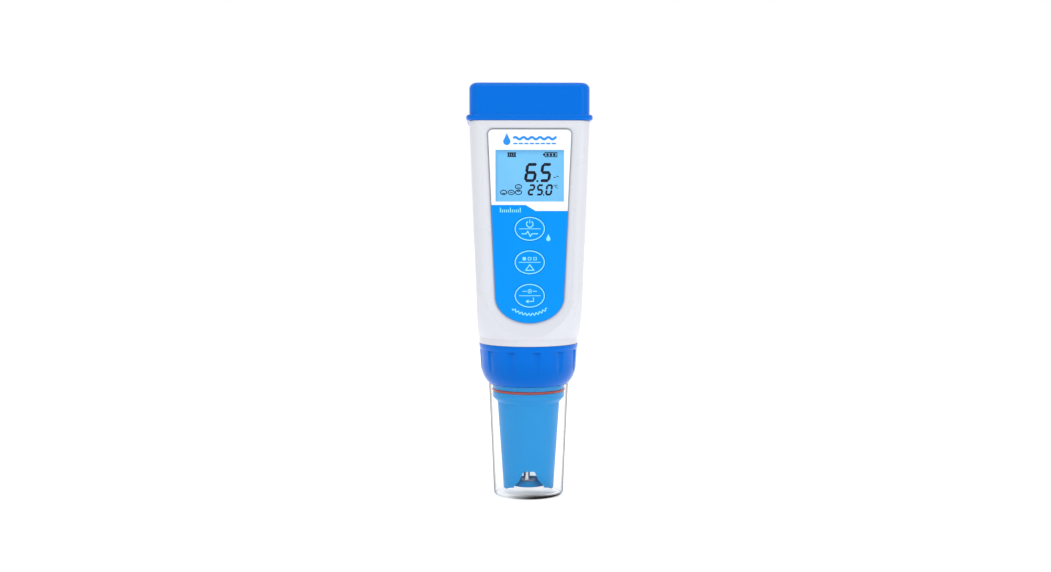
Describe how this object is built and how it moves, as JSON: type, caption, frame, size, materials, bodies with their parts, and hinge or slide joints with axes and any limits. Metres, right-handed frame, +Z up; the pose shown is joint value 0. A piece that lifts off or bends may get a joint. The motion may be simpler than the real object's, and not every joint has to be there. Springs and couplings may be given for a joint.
{
  "type": "ph meter",
  "caption": "Pocket pH meter: tapered case with a display and keys, pull-off battery cap, screw-on probe with a fluted lock ring, and a clear storage cap.",
  "frame": {"origin": "centre of the storage cap's base", "axes": "+Z up along the probe to the top cap, -Y the way the display faces, +X to the reader's right"},
  "size_m": [0.0512, 0.0416, 0.1704],
  "materials": {
    "case_white": "smooth satin ABS",
    "cap_blue": "smooth satin ABS",
    "ring_blue": "smooth satin ABS",
    "sleeve_blue": "satin, slightly translucent ABS",
    "cap_clear": "clear moulded polystyrene",
    "film_print": "printed polyester film",
    "key_print": "printed film over a firm pad",
    "lens_clear": "clear window",
    "lcd_blue": "backlit display glass",
    "backlight_white": "light guide",
    "seal_red": "moulded silicone",
    "seal_black": "moulded rubber",
    "board_green": "solder mask",
    "chip_black": "moulded epoxy",
    "inner_black": "moulded ABS",
    "inner_white": "moulded nylon",
    "steel": "bright steel",
    "gold": "gold flash",
    "cell_jacket": "printed jacket",
    "label_silver": "plain foil label",
    "lead_grey": "lead insulation",
    "bulb_glass": "blown electrode glass",
    "core_dark": "potting resin",
    "junction_white": "porous ceramic",
    "silver_wire": "chlorided silver"
  },
  "bodies": {
    "meter": {"front_case": "case_white", "rear_case": "case_white", "case_gasket": "seal_black", "case_screws": "steel", "rear_label": "label_silver", "cap_seal": "seal_black", "front_film": "film_print", "display_lens": "lens_clear", "lcd_glass": "lcd_blue", "lcd_backlight": "backlight_white", "zebra_strips": "seal_black", "main_board": "board_green", "board_chips": "chip_black", "buzzer": "chip_black", "key_switches": "inner_white", "board_screws": "steel", "battery_bay": "inner_black", "aaa_cell_1": "cell_jacket", "aaa_cell_2": "cell_jacket", "aaa_cell_3": "cell_jacket", "aaa_cell_4": "cell_jacket", "cell_springs": "steel", "door_gasket": "seal_black", "spigot": "case_white", "spigot_seal": "seal_red", "meter_socket": "inner_black", "socket_contacts": "gold", "signal_leads": "lead_grey", "lead_plug": "inner_white"},
    "top_cap": {"top_cap": "cap_blue"},
    "battery_door": {"battery_door": "inner_black", "door_contacts": "steel"},
    "power_key": {"power_key": "key_print"},
    "mode_key": {"mode_key": "key_print"},
    "cal_key": {"cal_key": "key_print"},
    "probe": {"probe_sleeve": "sleeve_blue", "probe_seal": "seal_red", "bulb_guard": "sleeve_blue", "glass_bulb": "bulb_glass", "glass_stem": "bulb_glass", "core_plug": "core_dark", "temperature_pin": "steel", "reference_junction": "junction_white", "inner_electrode": "silver_wire", "reference_wire": "silver_wire", "probe_plug": "inner_black", "plug_pins": "gold"},
    "lock_ring": {"lock_ring": "ring_blue"},
    "storage_cap": {"storage_cap": "cap_clear"}
  },
  "joints": [
    {"name": "cap_pull", "type": "slide", "parent": "meter", "child": "top_cap", "axis": [0, 0, 1], "range_m": [0, 0.03]},
    {"name": "door_slide", "type": "slide", "parent": "meter", "child": "battery_door", "axis": [0, -1, 0], "range_m": [0, 0.0033]},
    {"name": "power_press", "type": "slide", "parent": "meter", "child": "power_key", "axis": [0, 1, 0], "range_m": [0, 0.0005], "stiffness_N_per_m": 400},
    {"name": "mode_press", "type": "slide", "parent": "meter", "child": "mode_key", "axis": [0, 1, 0], "range_m": [0, 0.0005], "stiffness_N_per_m": 400},
    {"name": "cal_press", "type": "slide", "parent": "meter", "child": "cal_key", "axis": [0, 1, 0], "range_m": [0, 0.0005], "stiffness_N_per_m": 400},
    {"name": "probe_draw", "type": "slide", "parent": "meter", "child": "probe", "axis": [0, 0, -1], "range_m": [0, 0.0075]},
    {"name": "ring_turn", "type": "hinge", "parent": "probe", "child": "lock_ring", "pos_m": [0, 0, 0.055], "axis": [0, 0, -1], "range_deg": [0, 900]},
    {"name": "store_pull", "type": "slide", "parent": "probe", "child": "storage_cap", "axis": [0, 0, -1], "range_m": [0, 0.06]}
  ],
  "couplings": [
    {"joint": "probe_draw", "follows": "ring_turn", "m_per_rad": 0.00047746}
  ]
}
